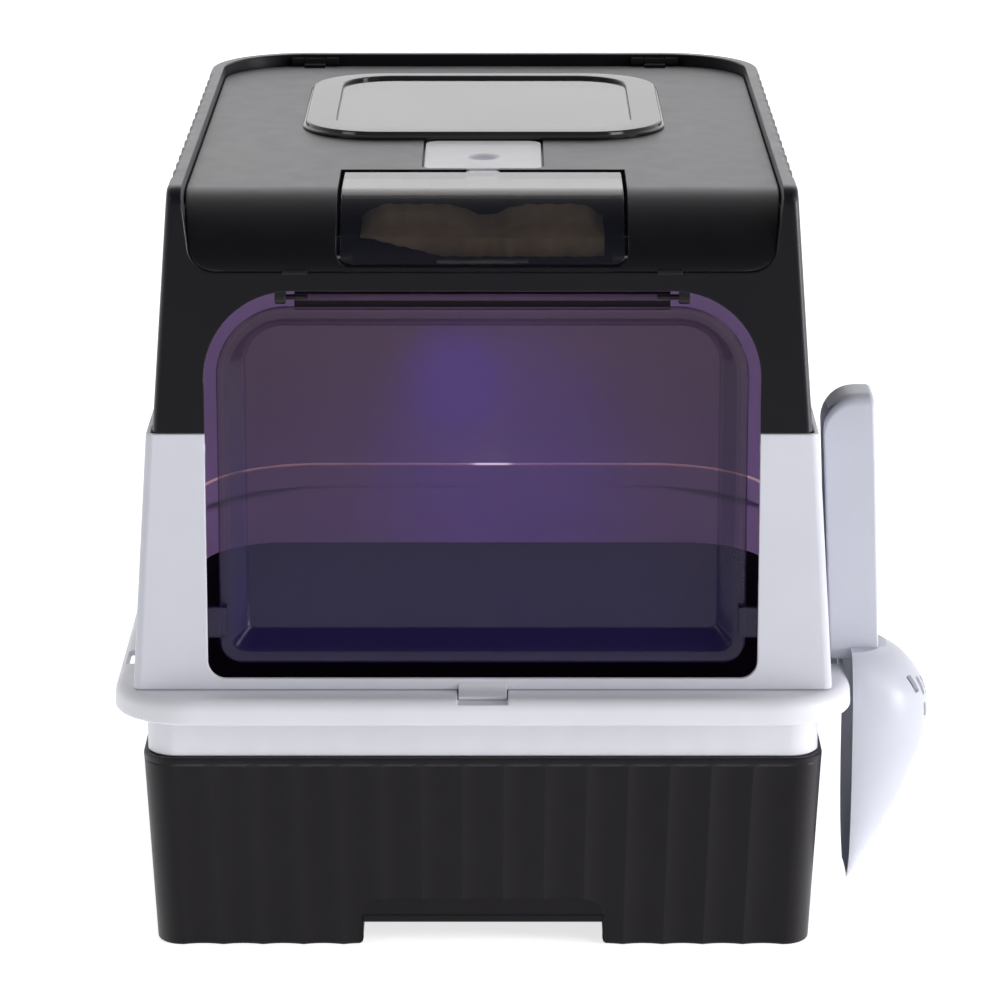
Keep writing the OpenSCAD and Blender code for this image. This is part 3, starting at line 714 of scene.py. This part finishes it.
carve(floor_, [box(-5.5, 5.5, -97.6, -80, 420, 440)])
rim = loft("tmp", [at_z(plan(h, -193, y, 1, c, 16), z) for z, h, y, c in ((427.3, 165.2, 221.1, 48), (432.3, 165.2, 221.1, 48), (432.3, 162.4, 218.7, 45), (427.3, 162.4, 218.7, 45))], closed=True)
carve(rim, [box(-200, 200, -230, -188, 400, 450)])
web = prism_x([(-176, 434)] + arc(CY, CZ, 41.5, 92, 176, 14) + arc(CY, CZ, 36.5, 175, 92, 14) + [(-176, 428)], 159.6, 162.4)
lk = add(rod(103.4, 117, 225, 436.8, 3, w=0.4), [soft_box(103.4, 117, 215, 225, 432, 436.8, 0.4, 2)])
clips = [soft_box(sx * x - 7, sx * x + 7, -226.6, -223.2, 393.6, 396.4, 0.5, 2) for sx in (-1, 1) for x in (104,)]
add(lid, [floor_, rim, mirrored(web), web, mirrored(lk), lk] + clips)
smooth(lid, 26)
wear(lid, M_LID, "lid")
second(lid, M_SHADE, lambda x, y, z: y > 214 and z > 431 and 103 < abs(x) < 117.6 and (y > 221.8 or z > 435.2))
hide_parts("top_lid")

# ------------------------------------------------------------------ skylight
def sk(z, hx, y0, y1, r, r2=None):
    return at_z(plan(hx, y0, y1, r, r2 or r, 20), z)


rings = [sk(432, 91.6, -27.6, 161.0, 31.6, 33.6), sk(435.1, 91.6, -27.6, 161.0, 31.6, 33.6), sk(435.1, 108.0, -40.9, 169.0, 45.5), sk(435.4, 108.6, -41.5, 169.6, 46), sk(436.4, 108.6, -41.5, 169.6, 46)]
rings += [sk(436.9, 108.2, -41.1, 169.2, 45.7), sk(437.4, 107.2, -40.1, 168.2, 44.8), sk(438.2, 106.9, -39.8, 167.9, 44.5)]
rings += [sk(438.2 + 1.3 * sin(radians(a)), 106.9 - 1.3 * (1 - cos(radians(a))), -39.8 + 1.3 * (1 - cos(radians(a))), 167.9 - 1.3 * (1 - cos(radians(a))), 44.5 - 1.3 * (1 - cos(radians(a)))) for a in (22, 45, 67, 90)]
rings += [sk(439.5, 89.6, -25.6, 158.8, 29.8, 32), sk(439.3, 88.9, -24.9, 158.1, 29.3, 31.5), sk(438.7, 88.4, -24.4, 157.6, 29, 31), sk(437.4, 88.4, -24.4, 157.6, 29, 31), sk(437.4, 86.5, -22.5, 155.5, 27, 29), sk(432, 86.5, -22.5, 155.5, 27, 29)]
bezel = loft("skylight_frame", rings, closed=True)
smooth(bezel, 30)
wear(bezel, M_BEZEL, "lid")
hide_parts("skylight_bezel")

rings = [sk(435.3, 88.2, -24.2, 157.4, 28.8, 30.8), sk(437.2, 88.2, -24.2, 157.4, 28.8, 30.8), sk(437.55, 87.9, -23.9, 157.1, 28.5, 30.5), sk(437.6, 87.3, -23.3, 156.5, 28, 30)]
pane = loft("skylight_window", rings)
smooth(pane, 30)
wear(pane, M_PANE, "lid")
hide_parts("skylight_pane")

# ------------------------------------------------------------------ latch
rings = [at_z(plan(34 - e, -128 + e, -41.5 - e, 5.5 - e, 8.5 - e, 10), z) for z, e in ((432.1, 0), (433.7, 0), (434.2, 0.15), (434.5, 0.45), (434.6, 0.9))]
latch = loft("latch_plate", rings)
fuse(latch, [soft_box(-8.2, 8.2, -133.8, -120, 432.1, 433.6, 0.3, 2)])
ball = bpy.data.meshes.new("ball")
bm = bmesh.new()
bmesh.ops.create_uvsphere(bm, u_segments=96, v_segments=220, radius=30.0 * S)
bm.to_mesh(ball)
bm.free()
ball.transform(Matrix.Translation((0, -92.6 * S, (434.6 + 30.0 - 1.9) * S)))
bo = bpy.data.objects.new("ball", ball)
scene.collection.objects.link(bo)
carve(latch, [bo])
add(latch, [soft_box(-4.9, 4.9, -97, -87.2, 428.9, 432.3, 0.3, 2)])
smooth(latch, 30)
wear(latch, M_LATCH, "latch")
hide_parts("latch_slide")

# ------------------------------------------------------------------ storage cover
rows = roll_rows(-134.6, 39.6, 37.6, 398.5, [-134.6, -136, -140, -150, -160, -170, -178], [398.7, 399.2, 400, 401, 402.2, 403.4, 404.5])
half = []
for (y, z), _ in rows:
    if z < 404.5:
        half.append(78.9 - 6 + sqrt(max(36 - (404.5 - z) ** 2, 0)))
    elif y > -136.2:
        half.append(78.9 - 1.5 + sqrt(max(1.5 ** 2 - (y + 136.1) ** 2, 0)))
    else:
        half.append(78.9)
def lift(q):
    t = min(1, max(0, (q[1] - 410) / 18))
    return (q[0], q[1] + 1.5 * t * t * (3 - 2 * t))


rows = [(lift(a), lift(b)) for a, b in rows]
cover = rolled("cover_shell", rows, half, 24)
round_edges(cover, 0.5, 3, lambda x, y, z: True, 50)
lipc = soft_box(-25.5, 25.5, -223.9, -221.2, 399, 401.5, 0.5, 3)
bossc = [add(rod(sx * 75.45 - 3.45, sx * 75.45 + 3.45, -218.5, 401.5, 2.4, w=0.3), [soft_box(sx * 75.45 - 3.45, sx * 75.45 + 3.45, -221.6, -218.4, 400.2, 402.8, 0.3, 2)]) for sx in (-1, 1)]
add(cover, [lipc] + bossc)
smooth(cover, 30)
wear(cover, M_COVER, "cover")
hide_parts("front_cover")

# ------------------------------------------------------------------ door
def dw(y, hx, z0, z1, rb, rt):
    return at_y(window(hx, z0, z1, rb, rt, 18), y)


def inset(y, e):
    return dw(y, 148.6 - e, 168.5 + e, 375.3 - e, max(12 - e, 0.8), max(40 - e, 2))


rings = [dw(-218.0, 131.9, 187.7, 362.1, 3.4, 20.8), dw(-218.0, 132.5, 187.1, 362.7, 4.0, 21.4), dw(-218.3, 132.8, 186.8, 363.0, 4.2, 21.7), dw(-219.2, 133.5, 186.0, 363.4, 4.6, 22.3)]
rings += [dw(lerp(-219.2, -225.6, t), lerp(133.5, 141.2, t), lerp(186.0, 176.6, t), lerp(363.4, 368.0, t), lerp(4.6, 7.8, t), lerp(22.3, 32.4, t)) for t in (0.33, 0.67, 1)]
rings += [dw(-226.2, 141.9, 175.9, 368.6, 8.2, 33), dw(-226.5, 142.7, 175.0, 369.3, 8.8, 33.8), inset(-226.5, 1.6), inset(-226.3, 0.7), inset(-225.8, 0.15), inset(-225.2, 0), inset(-224.6, 0.1), inset(-224.1, 0.5)]
rings += [dw(-224.0, 145.4, 171.9, 372.0, 9.2, 36.8), dw(-223.5, 144.4, 173.2, 371.0, 9, 36), dw(-217.0, 136.4, 183.2, 366.0, 6.6, 25.6), dw(-216.0, 135.3, 184.6, 364.8, 6.2, 24.0), dw(-215.6, 134.4, 185.6, 363.9, 5.4, 23), dw(-215.5, 133.2, 186.8, 362.7, 4.6, 22)]
door = loft("door_panel", rings)
ears = [soft_box(*(sorted((sx * 145.2, sx * 161))), -231.8, -228.8, 185, 203, 0.7, 3) for sx in (-1, 1)]
legs = [soft_box(*(sorted((sx * 144.4, sx * 147.6))), -231.6, -225.0, 185.2, 202.8, 0.5, 2) for sx in (-1, 1)]
bar = rod(-104.5, 104.5, -222, 380, 3, w=0.4)
strap = soft_box(-104.5, 104.5, -224.4, -221.1, 373.0, 380.2, 0.3, 2)
fuse(door, [bar])
fuse(door, [strap])
fuse(door, legs)
fuse(door, ears)
smooth(door, 30)
wear(door, M_DOOR, "door")
# Painted shade: the strap's front in the groove under the hinge bar, and the bar's top, wear the dull dark plastic
# where the hinge casts shade.
second(door, M_SHADE, lambda x, y, z: abs(x) < 104.3 and ((373.6 < z < 377.4 and y < -224.1 + 0.2 and y > -225.2) or (z > 382.3)))
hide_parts("door_flap")

# ------------------------------------------------------------------ scoop
BX, SY = 211.8, -172.0
bowl = [(25.6, 1.8, 16), (32.5, 6.4, 25), (44.6, 13.9, 34), (56.6, 21.3, 38), (68.7, 28.4, 40), (80.8, 34.7, 41.5), (92.9, 39.5, 42), (105, 43.5, 42),
        (117, 45.9, 42), (129, 46.2, 41.4), (141, 43.8, 39.6), (153.2, 36.3, 35.5), (160, 29.5, 31), (165.5, 20.5, 25)]


def spline(pts, z):
    """Monotone cubic through the bowl's table, at height z: depth and half width."""
    i = max(0, min(len(pts) - 2, sum(1 for p in pts if p[0] <= z) - 1))
    a, b = pts[i], pts[i + 1]
    t = (z - a[0]) / (b[0] - a[0])
    out = []
    for k in (1, 2):
        def slope(j):
            if j <= 0:
                return (pts[1][k] - pts[0][k]) / (pts[1][0] - pts[0][0])
            if j >= len(pts) - 1:
                return (pts[-1][k] - pts[-2][k]) / (pts[-1][0] - pts[-2][0])
            return (pts[j + 1][k] - pts[j - 1][k]) / (pts[j + 1][0] - pts[j - 1][0])
        h = b[0] - a[0]
        s0, s1 = slope(i) * h, slope(i + 1) * h
        out.append((2 * t ** 3 - 3 * t ** 2 + 1) * a[k] + (t ** 3 - 2 * t ** 2 + t) * s0 + (-2 * t ** 3 + 3 * t ** 2) * b[k] + (t ** 3 - t ** 2) * s1)
    return out


zs = [25.6, 26.4, 28, 30.5] + [34 + 4 * i for i in range(31)] + [157, 160, 162.5, 164.4, 165.5]
NA = 36


def bowl_row(z, t):
    d, w = spline(bowl, z)
    d, w = max(d - t, 0.25), w - t
    return [(BX + d * cos(radians(-90 + 180 * i / NA)), SY + w * sin(radians(-90 + 180 * i / NA)), z) for i in range(NA + 1)]


outer = [bowl_row(z, 0) for z in zs]
inner = [bowl_row(z, 2.2) for z in zs]
inner = [[(x, y, z + (0.9 if z < 30 else -2.0 if z > 165 else -1.4 if z > 164 else -0.4 if z > 162 else 0)) for x, y, z in r] for r in inner]
n, m = len(zs), NA + 1
verts = [v for r in outer for v in r] + [v for r in inner for v in r]
faces = []
for i in range(n - 1):
    for j in range(m - 1):
        a = i * m + j
        faces.append((a, a + 1, a + m + 1, a + m))
        a += n * m
        faces.append((a, a + m, a + m + 1, a + 1))
    for j in (0, m - 1):
        a, b = i * m + j, n * m + i * m + j
        faces.append((a, b, b + m, a + m) if j == 0 else (a, a + m, b + m, b))
for i, flip in ((0, True), (n - 1, False)):
    o_ = [i * m + j for j in range(m)]
    i_ = [n * m + i * m + j for j in range(m)]
    for j in range(m - 1):  # the open face's strip at the tip
        if i == 0:
            faces.append((o_[j + 1], o_[j], i_[j], i_[j + 1]))
    if i == n - 1:
        faces.append(tuple(o_))
        faces.append(tuple(reversed(i_)))
        faces.append((o_[0], o_[-1], i_[-1], i_[0]))
scoop = link("scoop_body", verts, faces)
for y, w, z0, z1 in ((19, 2.2, 140, 150), (12, 2.0, 136.5, 147), (13, 2.0, 124, 132), (4.5, 2.2, 134.5, 145.5), (4.5, 2.2, 121, 130)):
    carve(scoop, [soft_box(BX + 22, BX + 60, SY - y - w, SY - y + w, z0, z1, 1.1, 3),
                  soft_box(BX + 22, BX + 60, SY + y - w, SY + y + w, z0 - 3, z1 - 3, 1.1, 3)])


def handle_ring(y, e=0.0, cut=False, top=0.0):
    """Side view of the handle: leaning slightly in, round at its inner top corner."""
    x0, x1 = 199.8 + e, 228.1 - e
    z0, z1 = 158.8 + (0 if cut else e), 315.0 - e - top
    r = 19 - e
    tx0, tx1 = 193.6 + e, 222.4 - e
    pts = [(x0, z0), (lerp(x0, tx0, 0.3), lerp(z0, z1 - r, 0.3)), (lerp(x0, tx0, 0.65), lerp(z0, z1 - r, 0.65))]
    pts += [(tx0 + r - r * cos(radians(a)), z1 - r + r * sin(radians(a))) for a in (0, 11, 22, 33, 45, 56, 67, 78, 90)]
    r2 = max(3.0 - e, 0.6)
    pts += [(tx1 - r2 + r2 * sin(radians(a)), z1 - r2 + r2 * cos(radians(a))) for a in (0, 30, 60, 90)]
    pts += [(lerp(tx1, x1, 0.35), lerp(z1, z0, 0.35)), (lerp(tx1, x1, 0.7), lerp(z1, z0, 0.7)), (x1, z0)]
    return [(x, y, z) for x, z in pts]


rings = [handle_ring(SY - 15, 1.8, top=4.6), handle_ring(SY - 14.7, 0.8, top=3.8), handle_ring(SY - 13.9, 0.2, top=2.7), handle_ring(SY - 12.8, 0, top=1.8),
         handle_ring(SY - 11.2, 0, top=0.9), handle_ring(SY - 9.2, 0, top=0.25), handle_ring(SY - 7, 0),
         handle_ring(SY + 12.8, 0), handle_ring(SY + 13.9, 0.2), handle_ring(SY + 14.7, 0.8), handle_ring(SY + 15, 1.8)]
handle = loft("tmp", rings)
cut = loft("tmp", [[(x - 3.4, y, z - 0.6) for x, y, z in handle_ring(SY + s * 12.4, 2.4, True)] for s in (-1, 1)])
carve(handle, [cut, rod(180, 240, SY, 297, 4)])
shelf = soft_box(200.5, 227.5, SY - 15, SY + 15, 158.6, 161.0, 0.8, 3)
hang = soft_box(201.3, 204.7, SY - 9, SY + 9, 149, 160, 0.7, 3)
add(scoop, [handle, shelf, hang])
smooth(scoop, 32)
wear(scoop, M_SCOOP, "scoop")
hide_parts("scoop")

# ------------------------------------------------------------------ carried-over CAD nodes
for node in ("hood_screws", "latch_screw", "tub_screws", "cover_hinge_pins"):
    carry(node, M_STEEL)
for node in ("lid_hinge_pins", "door_hinge_pins"):
    carry(node, M_DARK_PIN)
carry("latch_keeper", M_TUB)
carry("storage_tub", M_TUB)

# ------------------------------------------------------------------ odour pouch, two lobes, lying over the tub's front wall
def pouch_ring(x):
    u = abs(x) / 68
    lobe = 13.6 * (1 - 0.46 * math.exp(-((x - 2) / 13) ** 2)) * (1 - 0.5 * max(0, (u - 0.78) / 0.22) ** 2)
    lobe += 0.35 * sin(x * 0.55) + 0.25 * sin(x * 1.3 + 1)
    top = 405.6 + lobe
    end = max(0, (u - 0.9) / 0.1)
    fold = 0.5 * sin(x * 0.31 + 0.6) + 0.3 * sin(x * 0.83)
    hem = 400.4 + (10.4 * min(1, max(0, (-x - 22) / 42)) if x < 0 else 0) + 0.3 * sin(x * 0.7)
    hem = min(hem, 411.0)
    f = -210.6 + fold + 1.2 * end
    return [(x, -143.2 - 2 * end, 405.6), (x, -142.4 - 2 * end, 407.5), (x, -144.5 - 2 * end, top - 3.5), (x, -150, top - 1.0), (x, -160, top + 0.2), (x, -172, top - 0.3 + fold * 0.4),
            (x, -184, top + 0.3), (x, -194, top - 0.4), (x, -201, top - 1.8), (x, -206, lerp(top, 412.6, 0.55)), (x, f, lerp(412.4, hem, 0.12)), (x, f - 0.5, lerp(412.4, hem, 0.5)),
            (x, f - 0.2, hem + 0.4), (x, f + 0.3, hem), (x, f + 0.9, hem + 0.5), (x, -208.2, lerp(411.4, hem, 0.4)), (x, -207.6, 411.6), (x, -206, 411.9), (x, -204.4, 411.4),
            (x, -203.6, 408.5), (x, -202.5, 405.9), (x, -190, 405.5), (x, -166, 405.5)]


pouch = loft("odour_pouch", [pouch_ring(-68 + 136 * i / 68) for i in range(69)])
smooth(pouch, 40)
wear(pouch, M_CART, "lid")
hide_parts("odour_cartridge")

# ------------------------------------------------------------------ stage
def stage_floor():
    """Pale sweep: a flat floor that turns up behind the object, lit a little more towards the back."""
    pts = [(-9, 0), (-4, 0), (-2, 0), (-1, 0), (0, 0), (1, 0), (2, 0), (4.5, 0)] + [(4.5 + 2.5 * sin(radians(a)), 2.5 * (1 - cos(radians(a)))) for a in range(6, 91, 6)] + [(7.0, 8)]
    verts = [(x * 1000, y * 1000, z * 1000) for y, z in pts for x in (-9, 9)]
    faces = [(2 * i, 2 * i + 1, 2 * i + 3, 2 * i + 2) for i in range(len(pts) - 1)]
    o = link("floor", verts, faces)
    k = Nodes("floor_paper")
    p = k.new("BsdfPrincipled", Roughness=k.ramp(k.noise(3), 0.75, 0.85))
    k.put(p.inputs["Base Color"], k.mix(k.noise(1.5), rgb(0.90, 0.90, 0.905), rgb(0.92, 0.92, 0.925)))
    p.inputs["Specular IOR Level"].default_value = 0.05
    sep = k.new("SeparateXYZ", Vector=k.co)
    k.put(p.inputs["Emission Strength"], k.ramp(sep.outputs[1], 0.72, 0.76, 0.3, 4.0))
    p.inputs["Emission Color"].default_value = (1, 1, 1, 1)
    k.put(k.out.inputs[0], p.outputs[0])
    wear(o, k.m)
    for f in o.data.polygons:
        f.use_smooth = True


stage_floor()


def area(name, loc, target, size, power, colour=(1, 1, 1), size_y=None, spread=180):
    d = bpy.data.lights.new(name, "AREA")
    d.energy, d.color, d.size = power, colour, size
    if size_y:
        d.shape, d.size_y = "RECTANGLE", size_y
    d.spread = radians(spread)
    o = bpy.data.objects.new(name, d)
    o.location = loc
    o.rotation_euler = (Vector(target) - Vector(loc)).to_track_quat("-Z", "Y").to_euler()
    scene.collection.objects.link(o)
    return o


area("key_right", (2.3, -2.1, 1.9), (0, -0.1, 0.25), 1.1, 24, (1.0, 0.99, 1.0), size_y=1.5)
area("fill_left", (-2.5, -2.0, 1.9), (0, -0.1, 0.25), 1.1, 12, (1.0, 1.0, 1.0), size_y=1.5)
area("edge_right", (3.3, -1.15, 0.55), (0, -0.2, 0.12), 0.8, 66, (1.0, 0.98, 1.0), size_y=0.9)


def beam(name, loc, target, energy, colour, size, cone):
    d = bpy.data.lights.new(name, "SPOT")
    d.energy, d.color, d.shadow_soft_size = energy, colour, size
    d.spot_size, d.spot_blend = radians(cone), 1.0
    o = bpy.data.objects.new(name, d)
    o.location = loc
    o.rotation_euler = (Vector(target) - Vector(loc)).to_track_quat("-Z", "Y").to_euler()
    scene.collection.objects.link(o)


beam("cabin_glow", (0.0, -0.03, 0.375), (0.0, 0.10, 0.12), 1.20, (0.80, 0.46, 1.0), 0.05, 150)
beam("violet_high", (-0.024, -0.02, 0.33), (-0.022, 0.243, 0.222), 0.85, (0.05, 0.015, 1.0), 0.006, 18)
beam("violet_low", (0.0, -0.05, 0.33), (0.012, 0.243, 0.165), 0.95, (0.05, 0.015, 1.0), 0.01, 38)

world = bpy.data.worlds.new("world")
scene.world = world
world.use_nodes = True
wt = world.node_tree
geo = wt.nodes.new("ShaderNodeTexCoord")
sep = wt.nodes.new("ShaderNodeSeparateXYZ")
wt.links.new(geo.outputs["Generated"], sep.inputs[0])


def wmap(socket, a0, a1, b0, b1):
    n = wt.nodes.new("ShaderNodeMapRange")
    n.interpolation_type = "SMOOTHSTEP"
    wt.links.new(socket, n.inputs[0])
    for k, v in (("From Min", a0), ("From Max", a1), ("To Min", b0), ("To Max", b1)):
        n.inputs[k].default_value = v
    return n.outputs[0]


mul = wt.nodes.new("ShaderNodeMath")
mul.operation = "MULTIPLY"
wt.links.new(wmap(sep.outputs[1], -0.7, 0.7, 0.25, 1.0), mul.inputs[0])
wt.links.new(wmap(sep.outputs[2], 0.22, 0.75, 1.0, 0.45), mul.inputs[1])
wt.links.new(mul.outputs[0], wt.nodes["Background"].inputs["Strength"])
wt.nodes["Background"].inputs["Color"].default_value = (1, 1, 1.0, 1)
